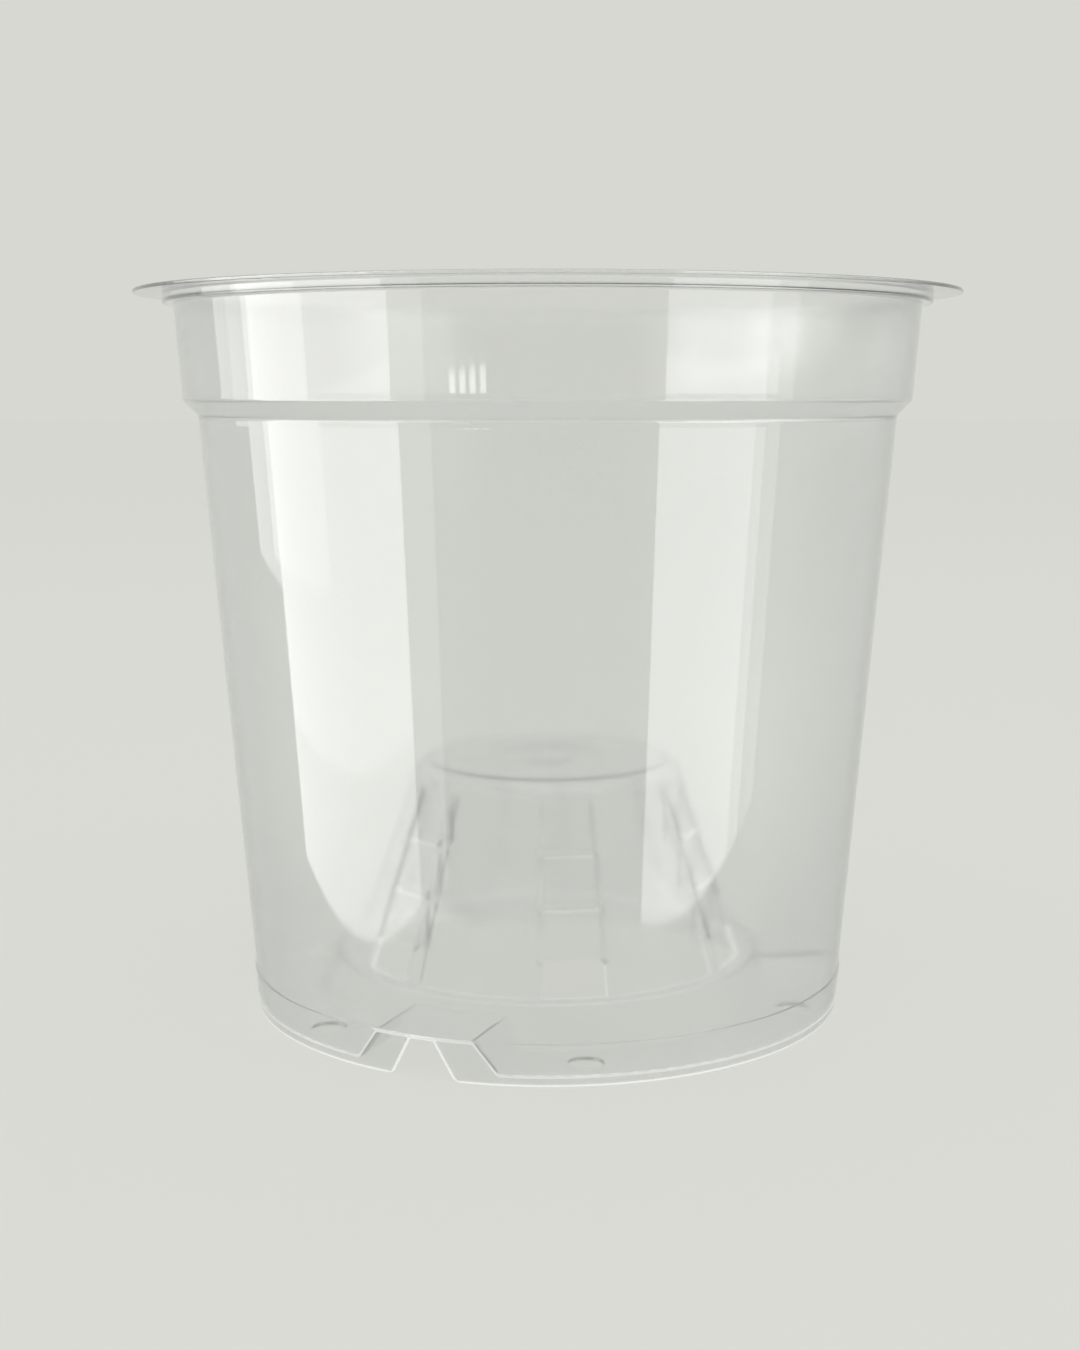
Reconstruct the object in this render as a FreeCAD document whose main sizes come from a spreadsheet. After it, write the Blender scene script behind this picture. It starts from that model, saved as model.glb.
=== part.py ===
import FreeCAD, Part
import math
import os
import re

import Sketcher

# Clear orchid pot, moulded in one: a flat flange, a collar, a step, a tapered wall, a notched foot and
# a floor with a hollow, slotted cone. Each region of the moulding is a body of its own, and the bodies
# meet face to face. Millimetres, +Z up, origin at the middle of the circle that the foot stands on.

# The driving sizes. Heights count up from the foot, radii are outer ones, angles are in degrees.
SIZES = {
    "wall": 0.8,
    "pot_height": 167.4,
    "flange_thickness": 0.8,
    "flange_width": 8.9,
    "flange_round": 0.3,
    "collar_height": 23.8,
    "collar_flare": 1.6,
    "rim_band_height": 2.2,
    "rim_band_proud": 2.4,
    "cove_radius": 0.4,
    "step_height": 3.6,
    "step_width": 3.5,
    "step_land": 1.3,
    "step_round": 1.4,
    "mitre_share": 0.42,
    "body_flare": 11.25,
    "foot_radius": 70.0,
    "foot_proud": 0.25,
    "bearing": -112.5,
    "notch_count": 3,
    "notch_height": 8.7,
    "notch_top_width": 5.4,
    "notch_foot_width": 14.6,
    "notch_round": 2.0,
    "notch_round_run_share": 0.6,
    "notch_round_back_share": 0.29,
    "notch_round_rise_share": 0.52,
    "floor_gap": 1.7,
    "channel_top_width": 22.4,
    "channel_foot_width": 32.6,
    "drain_hole_radius": 4.0,
    "floor_width": 14.15,
    "riser_run": 4.1,
    "platform_width": 4.1,
    "platform_rise": 2.5,
    "cone_taper": 14.7,
    "cone_rise": 45.8,
    "bevel_width": 3.1,
    "bevel_drop": 2.4,
    "cap_dish_radius": 12.0,
    "cap_dish_depth": 0.7,
    "gate_radius": 6.5,
    "gate_rise": 0.4,
    "louvre_count": 6,
    "slat_count": 3,
    "louvre_drop": 2.4,
    "louvre_half_angle": 9.0,
    "cheek_angle": 1.6,
    "rail_angle": 5.5,
    "rail_proud": 0.4,
    "window_height": 6.6,
    "overrun": 3.0,
}
FULL_TURN = 360

# How far an edge may lie from where it is looked for, as a share of its rounding.
MATCH_GAP_SHARE = 0.05

# Heights worked out from the sizes.
FLANGE_FOOT = "(pot_height - flange_thickness)"
COVE_FOOT = f"({FLANGE_FOOT} - cove_radius)"
BAND_FOOT = f"({FLANGE_FOOT} - rim_band_height)"
COLLAR_FOOT = f"({FLANGE_FOOT} - collar_height)"
STEP_TOP = f"({COLLAR_FOOT} + step_land)"
STEP_FOOT = f"({COLLAR_FOOT} - step_height)"
BODY_TOP = f"({STEP_FOOT} - step_land)"
SKIRT_TOP = "(notch_height + wall)"
FLOOR_TOP = "(floor_gap + wall)"
PLATFORM = f"({SKIRT_TOP} + platform_rise)"
CONE_TOP = f"({PLATFORM} + cone_rise)"
SHOULDER = f"({CONE_TOP} - bevel_drop)"
LOUVRE_TOP = f"({SHOULDER} - louvre_drop)"
WINDOW_TOP = f"({PLATFORM} + window_height)"
CAP_DISH = f"({CONE_TOP} - cap_dish_depth)"

# Radii worked out from the sizes.
LINE_FOOT = "(foot_radius - foot_proud)"
BODY_TOP_RADIUS = f"({LINE_FOOT} + body_flare)"
COLLAR_FOOT_RADIUS = f"({BODY_TOP_RADIUS} + step_width)"
COLLAR_TOP_RADIUS = f"({COLLAR_FOOT_RADIUS} + collar_flare)"
RIM_RADIUS = f"({COLLAR_TOP_RADIUS} + flange_width)"
BAND_RADIUS = f"({COLLAR_TOP_RADIUS} + rim_band_proud)"
COVE_TOP_RADIUS = f"({BAND_RADIUS} + cove_radius)"
RISER_FOOT_RADIUS = f"({LINE_FOOT} - wall - floor_width)"
DRAIN_CIRCLE_RADIUS = f"({RISER_FOOT_RADIUS} + floor_width / 2)"
PLATFORM_RADIUS = f"({RISER_FOOT_RADIUS} - riser_run)"
CONE_BASE_RADIUS = f"({PLATFORM_RADIUS} - platform_width)"
SHOULDER_RADIUS = f"({CONE_BASE_RADIUS} - cone_taper)"
CAP_RADIUS = f"({SHOULDER_RADIUS} - bevel_width)"

# Rounding of the flange's edge and the mouth.
RIM_ROUND = "min(flange_round; flange_thickness * mitre_share)"

doc = FreeCAD.newDocument("orchid_pot")
sheet = doc.addObject("Spreadsheet::Sheet", "Sizes")


def fill_sheet():
    """Writes each driving size beside its name and gives the cell that name."""
    for row, (name, size) in enumerate(SIZES.items(), start=1):
        sheet.set(f"A{row}", name)
        sheet.set(f"B{row}", str(size))
        sheet.setAlias(f"B{row}", name)
    doc.recompute()


def bound(text):
    """The expression with each driving size named as the sheet's cell."""
    return re.sub(r"[a-z_]+", lambda word: f"Sizes.{word[0]}" if word[0] in SIZES else word[0], text)


def value(text):
    """The expression's number at the sheet's present sizes."""
    return float(sheet.evalExpression(bound(text)))


def wall_radius(height):
    """Outer radius of the tapered wall's straight line at a height."""
    return f"({LINE_FOOT} + body_flare * {height} / {BODY_TOP})"


def inner_radius(height):
    """Inner radius of the tapered wall at a height."""
    return f"({wall_radius(height)} - wall)"


def cone_radius(height):
    """Outer radius of the raised cone at a height."""
    return f"({CONE_BASE_RADIUS} - cone_taper * ({height} - {PLATFORM}) / ({SHOULDER} - {PLATFORM}))"


def slat_height(index):
    """Height of the upper edge of a slat, counted down from the top of the louvres."""
    return f"({LOUVRE_TOP} - ({LOUVRE_TOP} - {WINDOW_TOP}) * {index} / slat_count)"


def slat_radius(index):
    """Outer radius of an upright slat, whose upper edge is flush with the cone."""
    return cone_radius(slat_height(index))


def new_body(label):
    """An empty body with that name."""
    body = doc.addObject("PartDesign::Body", label)
    body.Label = label
    return body


def turn_body(body, angle):
    """Turns a finished body about the pot's axis."""
    body.setExpression("Placement.Rotation.Angle", bound(angle))


def origin_feature(body, role):
    """The body's own origin plane or axis of that role."""
    return next(item for item in body.Origin.OriginFeatures if item.Role == role)


def place_constraint(sketch, side, end, way, text):
    """Holds one coordinate of a line's end at an expression. A place left of the origin starts with a minus."""
    if text == "0":
        axis = -2 if way == "DistanceX" else -1
        sketch.addConstraint(Sketcher.Constraint("PointOnObject", side, end, axis))
        return
    if text.startswith("-"):
        text = text[1:]
        rule = Sketcher.Constraint(way, side, end, -1, 1, value(text))
    else:
        rule = Sketcher.Constraint(way, -1, 1, side, end, value(text))
    number = sketch.addConstraint(rule)
    sketch.setExpression(f"Constraints[{number}]", bound(text))


def arc_between(start, finish, radius, turn):
    """The shorter arc between two points, with its centre left of the way for a turn of 1 or right for -1."""
    chord = finish - start
    middle = (start + finish) / 2
    left = FreeCAD.Vector(-chord.y, chord.x, 0).normalize()
    reach = math.sqrt(max(radius**2 - (chord.Length / 2) ** 2, 0))
    centre = middle + left * reach * turn
    first, last = (start, finish) if turn > 0 else (finish, start)
    angles = [math.atan2(point.y - centre.y, point.x - centre.x) for point in (first, last)]
    if angles[1] < angles[0]:
        angles[1] += math.tau
    return Part.ArcOfCircle(Part.Circle(centre, FreeCAD.Vector(0, 0, 1), radius), *angles)


def draw_outline(body, plane, name, corners, arcs=None):
    """A closed sketch on one of the body's planes. corners holds (across, up) expressions, and arcs gives
    (radius expression, turn) for the sides that are arcs, by the number of the corner they start at."""
    arcs = arcs or {}
    sketch = body.newObject("Sketcher::SketchObject", f"{body.Name}_{name}")
    sketch.AttachmentSupport = [(origin_feature(body, plane), "")]
    sketch.MapMode = "FlatFace"
    points = [FreeCAD.Vector(signed(across), signed(up), 0) for across, up in corners]
    ends = []
    for index, start in enumerate(points):
        finish = points[(index + 1) % len(points)]
        if index in arcs:
            radius, turn = arcs[index]
            sketch.addGeometry(arc_between(start, finish, value(radius), turn))
            ends.append((1, 2) if turn > 0 else (2, 1))
            number = sketch.addConstraint(Sketcher.Constraint("Radius", index, value(radius)))
            sketch.setExpression(f"Constraints[{number}]", bound(radius))
        else:
            sketch.addGeometry(Part.LineSegment(start, finish))
            ends.append((1, 2))
    for index, (across, up) in enumerate(corners):
        before = index - 1 if index else len(corners) - 1
        sketch.addConstraint(
            Sketcher.Constraint("Coincident", before, ends[before][1], index, ends[index][0])
        )
        place_constraint(sketch, index, ends[index][0], "DistanceX", across)
        place_constraint(sketch, index, ends[index][0], "DistanceY", up)
    return sketch


def signed(text):
    """The number of an expression that may start with a minus."""
    return -value(text[1:]) if text.startswith("-") else value(text)


def revolve(body, sketch, angle=None):
    """Turns an outline about the pot's axis: all the way round, or by an angle half to each side."""
    feature = body.newObject("PartDesign::Revolution", f"{sketch.Name}_turned")
    feature.Profile = sketch
    feature.ReferenceAxis = (sketch, ["V_Axis"])
    if angle is None:
        feature.Angle = FULL_TURN
    else:
        feature.setExpression("Angle", bound(angle))
        feature.Midplane = True
    sketch.Visibility = False
    return feature


def cut_away(feature):
    """Rebuilds the body and stops if the new cut has taken nothing from it."""
    doc.recompute()
    if not feature.Shape.Volume < feature.BaseFeature.Shape.Volume:
        raise RuntimeError(f"{feature.Name} cuts nothing")


def groove(body, sketch, angle=None):
    """Cuts an outline turned about the pot's axis, all the way round or half of an angle to each side."""
    feature = body.newObject("PartDesign::Groove", f"{sketch.Name}_groove")
    feature.Profile = sketch
    feature.ReferenceAxis = (sketch, ["V_Axis"])
    if angle is None:
        feature.Angle = FULL_TURN
    else:
        feature.setExpression("Angle", bound(angle))
        feature.Midplane = True
    cut_away(feature)
    return feature


def pocket(body, sketch, reach=None):
    """Cuts an outline along its plane's normal for a length, or through everything on both sides."""
    feature = body.newObject("PartDesign::Pocket", f"{sketch.Name}_pocket")
    feature.Profile = sketch
    if reach is None:
        feature.Type = "ThroughAll"
        feature.SideType = "Symmetric"
    else:
        feature.Type = "Length"
        feature.setExpression("Length", bound(reach))
        feature.Reversed = True
    cut_away(feature)
    return feature


def repeat_round(body, feature, count):
    """Repeats a feature evenly round the pot's axis."""
    pattern = body.newObject("PartDesign::PolarPattern", f"{feature.Name}_round")
    pattern.Originals = [feature]
    pattern.Axis = (origin_feature(body, "Z_Axis"), [""])
    pattern.Angle = FULL_TURN
    pattern.setExpression("Occurrences", bound(count))
    body.Tip = pattern
    doc.recompute()
    return pattern


def round_rings(body, rings, radius):
    """Rounds the circular edges that lie at the given (radius, height) expressions."""
    doc.recompute()
    base = body.Tip
    wanted = [(value(across), value(up)) for across, up in rings]
    names = []
    for number, edge in enumerate(base.Shape.Edges, start=1):
        curve = edge.Curve
        if not isinstance(curve, Part.Circle):
            continue
        for across, up in wanted:
            gap = math.hypot(curve.Radius - across, curve.Center.z - up)
            if gap < value(radius) * MATCH_GAP_SHARE:
                names.append(f"Edge{number}")
    feature = body.newObject("PartDesign::Fillet", f"{body.Name}_round")
    feature.Base = (base, names)
    feature.setExpression("Radius", bound(radius))
    doc.recompute()
    return feature


def make_flange():
    """Flat ring round the mouth, from the end of the cove out."""
    body = new_body("rim_flange")
    corners = [
        (COVE_TOP_RADIUS, FLANGE_FOOT),
        (RIM_RADIUS, FLANGE_FOOT),
        (RIM_RADIUS, "pot_height"),
        (COVE_TOP_RADIUS, "pot_height"),
    ]
    revolve(body, draw_outline(body, "XZ_Plane", "outline", corners))
    round_rings(body, [(RIM_RADIUS, FLANGE_FOOT), (RIM_RADIUS, "pot_height")], RIM_ROUND)
    turn_body(body, "bearing")
    return body


def make_collar():
    """Upright band that steps out under the flange and meets it in a small cove."""
    body = new_body("collar_band")
    mouth = f"({BAND_RADIUS} - wall)"
    inner_foot = f"({BAND_FOOT} + wall)"
    corners = [
        (COVE_TOP_RADIUS, "pot_height"),
        (mouth, "pot_height"),
        (mouth, inner_foot),
        (f"({COLLAR_TOP_RADIUS} - wall)", inner_foot),
        (f"({COLLAR_FOOT_RADIUS} - wall)", STEP_TOP),
        (COLLAR_FOOT_RADIUS, STEP_TOP),
        (COLLAR_TOP_RADIUS, BAND_FOOT),
        (BAND_RADIUS, BAND_FOOT),
        (BAND_RADIUS, COVE_FOOT),
        (COVE_TOP_RADIUS, FLANGE_FOOT),
    ]
    revolve(body, draw_outline(body, "XZ_Plane", "outline", corners, {8: ("cove_radius", -1)}))
    round_rings(body, [(mouth, "pot_height")], RIM_ROUND)
    turn_body(body, "bearing")
    return body


def make_ledge():
    """Sloped step that takes the collar in to the body, with a short upright land at each end."""
    body = new_body("step_ledge")
    lift = "wall * mitre_share"
    corners = [
        (COLLAR_FOOT_RADIUS, STEP_TOP),
        (COLLAR_FOOT_RADIUS, COLLAR_FOOT),
        (BODY_TOP_RADIUS, STEP_FOOT),
        (BODY_TOP_RADIUS, BODY_TOP),
        (f"({BODY_TOP_RADIUS} - wall)", BODY_TOP),
        (f"({BODY_TOP_RADIUS} - wall)", f"({STEP_FOOT} + {lift})"),
        (f"({COLLAR_FOOT_RADIUS} - wall)", f"({COLLAR_FOOT} + {lift})"),
        (f"({COLLAR_FOOT_RADIUS} - wall)", STEP_TOP),
    ]
    revolve(body, draw_outline(body, "XZ_Plane", "outline", corners))
    rings = [(COLLAR_FOOT_RADIUS, COLLAR_FOOT), (BODY_TOP_RADIUS, STEP_FOOT)]
    round_rings(body, rings, "min(step_round; step_land)")
    turn_body(body, "bearing")
    return body


def make_wall():
    """Tapered wall from the step down to the foot."""
    body = new_body("body_wall")
    corners = [
        (BODY_TOP_RADIUS, BODY_TOP),
        (wall_radius(SKIRT_TOP), SKIRT_TOP),
        (inner_radius(SKIRT_TOP), SKIRT_TOP),
        (f"({BODY_TOP_RADIUS} - wall)", BODY_TOP),
    ]
    revolve(body, draw_outline(body, "XZ_Plane", "outline", corners))
    turn_body(body, "bearing")
    return body


def make_skirt():
    """Foot band, a little proud of the wall, that the pot stands on, with a notch for each channel."""
    body = new_body("foot_skirt")
    corners = [
        (inner_radius(SKIRT_TOP), SKIRT_TOP),
        (f"({wall_radius(SKIRT_TOP)} + foot_proud)", SKIRT_TOP),
        ("foot_radius", "0"),
        (f"({LINE_FOOT} - wall)", "0"),
    ]
    revolve(body, draw_outline(body, "XZ_Plane", "outline", corners))
    notch = draw_outline(body, "YZ_Plane", "notch", *notch_outline())
    repeat_round(body, pocket(body, notch, RIM_RADIUS), "notch_count")
    turn_body(body, "bearing")
    return body


def notch_outline():
    """Corners and arcs of a notch: narrow at the top, wide at the foot, with rounded corners there."""
    run = "(notch_foot_width / 2 + notch_round * notch_round_run_share)"
    back = "(notch_foot_width / 2 - notch_round * notch_round_back_share)"
    rise = "(notch_round * notch_round_rise_share)"
    top = "(notch_top_width / 2)"
    corners = [
        (f"-{run}", "-overrun"),
        (run, "-overrun"),
        (run, "0"),
        (back, rise),
        (top, "notch_height"),
        (f"-{top}", "notch_height"),
        (f"-{back}", rise),
        (f"-{run}", "0"),
    ]
    return corners, {2: ("notch_round", 1), 6: ("notch_round", 1)}


def make_floor(index):
    """Low floor between two channels, with its drain holes. Its first channel lies at the bearing."""
    body = new_body(f"floor_segment_{index + 1}")
    corners = [
        (RISER_FOOT_RADIUS, "floor_gap"),
        (inner_radius("floor_gap"), "floor_gap"),
        (inner_radius(FLOOR_TOP), FLOOR_TOP),
        (RISER_FOOT_RADIUS, FLOOR_TOP),
    ]
    sector = revolve(body, draw_outline(body, "XZ_Plane", "outline", corners))
    sector.setExpression("Angle", bound(f"{FULL_TURN} / notch_count"))
    half = "(channel_foot_width / 2)"
    strip = [("0", f"-{half}"), (RIM_RADIUS, f"-{half}"), (RIM_RADIUS, half), ("0", half)]
    channel = pocket(body, draw_outline(body, "XY_Plane", "strip", strip))
    repeat_round(body, channel, "notch_count")
    repeat_round(body, pocket(body, drain_hole(body)), "louvre_count")
    turn_body(body, f"bearing + {FULL_TURN} * {index} / notch_count")
    return body


def drain_hole(body):
    """Sketch of the drain hole half a louvre's pitch past the channel."""
    sketch = body.newObject("Sketcher::SketchObject", f"{body.Name}_drain")
    sketch.AttachmentSupport = [(origin_feature(body, "XY_Plane"), "")]
    sketch.MapMode = "FlatFace"
    half_pitch = f"{FULL_TURN} / louvre_count / 2"
    places = [f"{DRAIN_CIRCLE_RADIUS} * {way}({half_pitch})" for way in ("cos", "sin")]
    centre = FreeCAD.Vector(*[value(place) for place in places], 0)
    radius = value("drain_hole_radius")
    sketch.addGeometry(Part.Circle(centre, FreeCAD.Vector(0, 0, 1), radius))
    number = sketch.addConstraint(Sketcher.Constraint("Radius", 0, radius))
    sketch.setExpression(f"Constraints[{number}]", bound("drain_hole_radius"))
    place_constraint(sketch, 0, 3, "DistanceX", places[0])
    place_constraint(sketch, 0, 3, "DistanceY", places[1])
    return sketch


def make_base_step():
    """Raised ring that carries the cone, opened where each channel runs in under it."""
    body = new_body("base_step")
    corners = [
        (RISER_FOOT_RADIUS, "floor_gap"),
        (RISER_FOOT_RADIUS, FLOOR_TOP),
        (PLATFORM_RADIUS, PLATFORM),
        (CONE_BASE_RADIUS, PLATFORM),
        (CONE_BASE_RADIUS, f"({PLATFORM} - wall)"),
        (f"({PLATFORM_RADIUS} - wall)", f"({PLATFORM} - wall)"),
        (f"({RISER_FOOT_RADIUS} - wall)", "floor_gap"),
    ]
    revolve(body, draw_outline(body, "XZ_Plane", "outline", corners))
    tunnel = draw_outline(body, "YZ_Plane", "tunnel", channel_inside("-overrun"))
    repeat_round(body, pocket(body, tunnel, "foot_radius"), "notch_count")
    turn_body(body, "bearing")
    return body


def channel_inside(foot):
    """Corners of the space inside a channel, from a foot height up."""
    low = "(channel_foot_width / 2 - wall)"
    high = "(channel_top_width / 2 - wall * mitre_share)"
    return [
        (f"-{low}", foot),
        (low, foot),
        (low, FLOOR_TOP),
        (high, "notch_height"),
        (f"-{high}", "notch_height"),
        (f"-{low}", FLOOR_TOP),
    ]


def make_channel(index):
    """Tunnel over a notch that joins it to the hollow under the cone, open below."""
    body = new_body(f"drain_channel_{index + 1}")
    low, high = "(channel_foot_width / 2)", "(channel_top_width / 2)"
    inside = channel_inside("floor_gap")
    corners = [
        (f"-{low}", "floor_gap"),
        *(inside[place] for place in (0, 5, 4, 3, 2, 1)),
        (low, "floor_gap"),
        (low, FLOOR_TOP),
        (high, SKIRT_TOP),
        (f"-{high}", SKIRT_TOP),
        (f"-{low}", FLOOR_TOP),
    ]
    pad = body.newObject("PartDesign::Pad", f"{body.Name}_pad")
    pad.Profile = draw_outline(body, "YZ_Plane", "hat", corners)
    pad.setExpression("Length", bound("foot_radius + overrun"))
    doc.recompute()
    inner = [
        ("0", "-overrun"),
        (RISER_FOOT_RADIUS, "-overrun"),
        (RISER_FOOT_RADIUS, FLOOR_TOP),
        (PLATFORM_RADIUS, PLATFORM),
        ("0", PLATFORM),
    ]
    groove(body, draw_outline(body, "XZ_Plane", "inner", inner))
    outer = [
        (inner_radius("0"), "0"),
        (inner_radius(SKIRT_TOP), SKIRT_TOP),
        (RIM_RADIUS, SKIRT_TOP),
        (RIM_RADIUS, "0"),
    ]
    groove(body, draw_outline(body, "XZ_Plane", "outer", outer))
    turn_body(body, f"bearing + {FULL_TURN} * {index} / notch_count")
    return body


def make_cone():
    """Wall of the raised cone, with an opening for each louvred panel."""
    body = new_body("cone_wall")
    corners = [
        (CONE_BASE_RADIUS, f"({PLATFORM} - wall)"),
        (CONE_BASE_RADIUS, PLATFORM),
        (SHOULDER_RADIUS, SHOULDER),
        (f"({SHOULDER_RADIUS} - wall)", SHOULDER),
        (f"({CONE_BASE_RADIUS} - wall)", PLATFORM),
        (f"({CONE_BASE_RADIUS} - wall)", f"({PLATFORM} - wall)"),
    ]
    revolve(body, draw_outline(body, "XZ_Plane", "outline", corners))
    opening = [
        (CAP_RADIUS, PLATFORM),
        (PLATFORM_RADIUS, PLATFORM),
        (PLATFORM_RADIUS, LOUVRE_TOP),
        (CAP_RADIUS, LOUVRE_TOP),
    ]
    angle = "(louvre_half_angle + rail_angle) * 2"
    cut = groove(body, draw_outline(body, "XZ_Plane", "opening", opening), angle)
    repeat_round(body, cut, "louvre_count")
    turn_body(body, f"bearing + {FULL_TURN} / louvre_count / 2")
    return body


def make_louvre(index):
    """Louvred panel: rails at its sides, upright slats that step outwards, and a window at the foot."""
    body = new_body(f"louvre_panel_{index + 1}")
    rails = [
        (f"({cone_radius(LOUVRE_TOP)} + rail_proud)", LOUVRE_TOP),
        (f"({cone_radius(LOUVRE_TOP)} - wall)", LOUVRE_TOP),
        (f"({CONE_BASE_RADIUS} - wall)", PLATFORM),
        (f"({CONE_BASE_RADIUS} + rail_proud)", PLATFORM),
    ]
    angle = "(louvre_half_angle + rail_angle) * 2"
    revolve(body, draw_outline(body, "XZ_Plane", "rails", rails), angle)
    slats = range(round(value("slat_count")))
    steps = [(cone_radius(WINDOW_TOP), WINDOW_TOP), (cone_radius(LOUVRE_TOP), LOUVRE_TOP)]
    for slat in slats:
        inner = f"({slat_radius(slat)} - wall)"
        steps += [(inner, slat_height(slat)), (inner, slat_height(slat + 1))]
    cheeks = "(louvre_half_angle + cheek_angle) * 2"
    revolve(body, draw_outline(body, "XZ_Plane", "steps", steps), cheeks)
    recess = [
        (CAP_RADIUS, f"({PLATFORM} - overrun)"),
        (PLATFORM_RADIUS, f"({PLATFORM} - overrun)"),
        (PLATFORM_RADIUS, LOUVRE_TOP),
    ]
    for slat in slats:
        recess += [(slat_radius(slat), slat_height(slat)), (slat_radius(slat), slat_height(slat + 1))]
    recess.append((CAP_RADIUS, WINDOW_TOP))
    doc.recompute()
    groove(body, draw_outline(body, "XZ_Plane", "recess", recess), "louvre_half_angle * 2")
    turn_body(body, f"bearing + {FULL_TURN} * ({index} + 1 / 2) / louvre_count")
    return body


def make_cap():
    """Bevelled top of the cone with a shallow dish and the raised spot in its middle."""
    body = new_body("cone_cap")
    corners = [
        (f"({SHOULDER_RADIUS} - wall)", SHOULDER),
        (SHOULDER_RADIUS, SHOULDER),
        (CAP_RADIUS, CONE_TOP),
        ("(cap_dish_radius + cap_dish_depth)", CONE_TOP),
        ("cap_dish_radius", CAP_DISH),
        ("(gate_radius + gate_rise)", CAP_DISH),
        ("gate_radius", f"({CAP_DISH} + gate_rise)"),
        ("0", f"({CAP_DISH} + gate_rise)"),
        ("0", f"({CAP_DISH} - wall)"),
        ("(cap_dish_radius + wall * mitre_share)", f"({CAP_DISH} - wall)"),
        ("(cap_dish_radius + cap_dish_depth + wall * mitre_share)", f"({CONE_TOP} - wall)"),
        (f"({CAP_RADIUS} - wall * mitre_share)", f"({CONE_TOP} - wall)"),
    ]
    revolve(body, draw_outline(body, "XZ_Plane", "outline", corners))
    turn_body(body, "bearing")
    return body


def check_objects():
    """Stops if any object of the document failed to build."""
    for item in doc.Objects:
        if any(word in item.State for word in ("Invalid", "Error")):
            raise RuntimeError(f"{item.Name} failed: {item.State}")


def write_parts(bodies):
    """Writes each region's solid to a file named by its label."""
    os.makedirs("parts", exist_ok=True)
    for body in bodies:
        shape = body.Shape
        if shape.isNull() or not shape.isValid():
            raise RuntimeError(f"{body.Label} has no valid shape")
        shape.exportStep(f"parts/{body.Label}.step")
        solids = len(shape.Solids)
        print(f"{body.Label}: {solids} solid, {shape.Volume:.1f} cubic mm, {shape.BoundBox}")


fill_sheet()
notches = range(round(value("notch_count")))
louvres = range(round(value("louvre_count")))
regions = [make_flange(), make_collar(), make_ledge(), make_wall(), make_skirt()]
regions += [make_floor(index) for index in notches]
regions += [make_channel(index) for index in notches]
regions += [make_base_step(), make_cone()]
regions += [make_louvre(index) for index in louvres]
regions.append(make_cap())
doc.recompute()
check_objects()
write_parts(regions)
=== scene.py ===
import math

import bmesh
import bpy
from mathutils import Matrix, Vector


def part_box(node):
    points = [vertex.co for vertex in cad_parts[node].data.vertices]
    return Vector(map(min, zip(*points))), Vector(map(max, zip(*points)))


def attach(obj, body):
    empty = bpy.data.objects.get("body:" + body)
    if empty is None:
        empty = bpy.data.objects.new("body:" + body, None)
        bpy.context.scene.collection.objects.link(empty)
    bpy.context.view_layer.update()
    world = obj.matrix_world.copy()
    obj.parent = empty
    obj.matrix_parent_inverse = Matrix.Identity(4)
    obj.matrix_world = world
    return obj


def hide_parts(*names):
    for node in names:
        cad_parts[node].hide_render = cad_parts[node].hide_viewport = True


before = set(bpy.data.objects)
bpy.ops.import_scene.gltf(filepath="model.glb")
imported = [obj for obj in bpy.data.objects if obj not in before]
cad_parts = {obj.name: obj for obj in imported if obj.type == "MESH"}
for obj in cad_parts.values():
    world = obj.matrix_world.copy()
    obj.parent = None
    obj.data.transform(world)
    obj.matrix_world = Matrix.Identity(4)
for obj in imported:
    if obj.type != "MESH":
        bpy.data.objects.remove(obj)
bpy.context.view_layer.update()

# Clear orchid pot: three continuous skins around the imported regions. Metres, degrees and +Z up.
MM = 0.001

# Wall, rim and step.
WALL = 0.8 * MM
EDGE_ROUND = 0.3 * MM
STEP_ROUND = 1.3 * MM
INNER_ROUND = 0.6 * MM
BAND_HEIGHT = 2.2 * MM
BAND_PROUD = 2.4 * MM
COVE_RADIUS = 0.4 * MM
BAND_ROUND = 0.35 * MM
COLLAR_FLARE = 1.6 * MM
STEP_HEIGHT = 3.6 * MM
STEP_LAND = 1.3 * MM
KINK_ROUND = 12.0 * MM
MITRE_SHARE = 0.42
BODY_TOP_RADIUS = 81.0 * MM
COLLAR_FOOT_RADIUS = 84.5 * MM
COLLAR_TOP_RADIUS = COLLAR_FOOT_RADIUS + COLLAR_FLARE
BAND_RADIUS = COLLAR_TOP_RADIUS + BAND_PROUD

# Foot and its notches.
FOOT_INSET = 25.0 * MM
FOOT_PROUD = 0.25 * MM
EDGE_LIP = 0.25 * MM
NOTCH_LIP = 0.5 * MM
LEDGE_ROUND = 0.1 * MM
NOTCH_BEARING = -112.5
NOTCH_COUNT = 3
NOTCH_HEIGHT = 8.7 * MM
NOTCH_TOP_HALF = 2.7 * MM
NOTCH_FOOT_HALF = 7.3 * MM
NOTCH_CORNER = 2.0 * MM
NOTCH_RUN_SHARE = 0.6
NOTCH_RISE_SHARE = 0.52

# Drain floor.
FLOOR_GAP = 1.7 * MM
CHANNEL_TOP_HALF = 11.2 * MM
CHANNEL_FOOT_HALF = 16.3 * MM
DRAIN_RADIUS = 4.0 * MM
DRILL_DEPTH = WALL * 3
RISER_FOOT_RADIUS = 54.8 * MM
PLATFORM_RADIUS = 50.7 * MM
SOFTENING = 0.5 * MM

# Cone and its louvred panels.
LOUVRE_COUNT = 6
LOUVRE_HALF = 9.0
CHEEK_ANGLE = 1.3
CHEEK_SLOPE = 0.3
RAIL_ANGLE = 5.5
RAIL_PROUD = 0.4 * MM
LOUVRE_DROP = 2.4 * MM
WINDOW_HEIGHT = 6.6 * MM
SLAT_COUNT = 3
SLOT_LIP = 0.15 * MM

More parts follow.
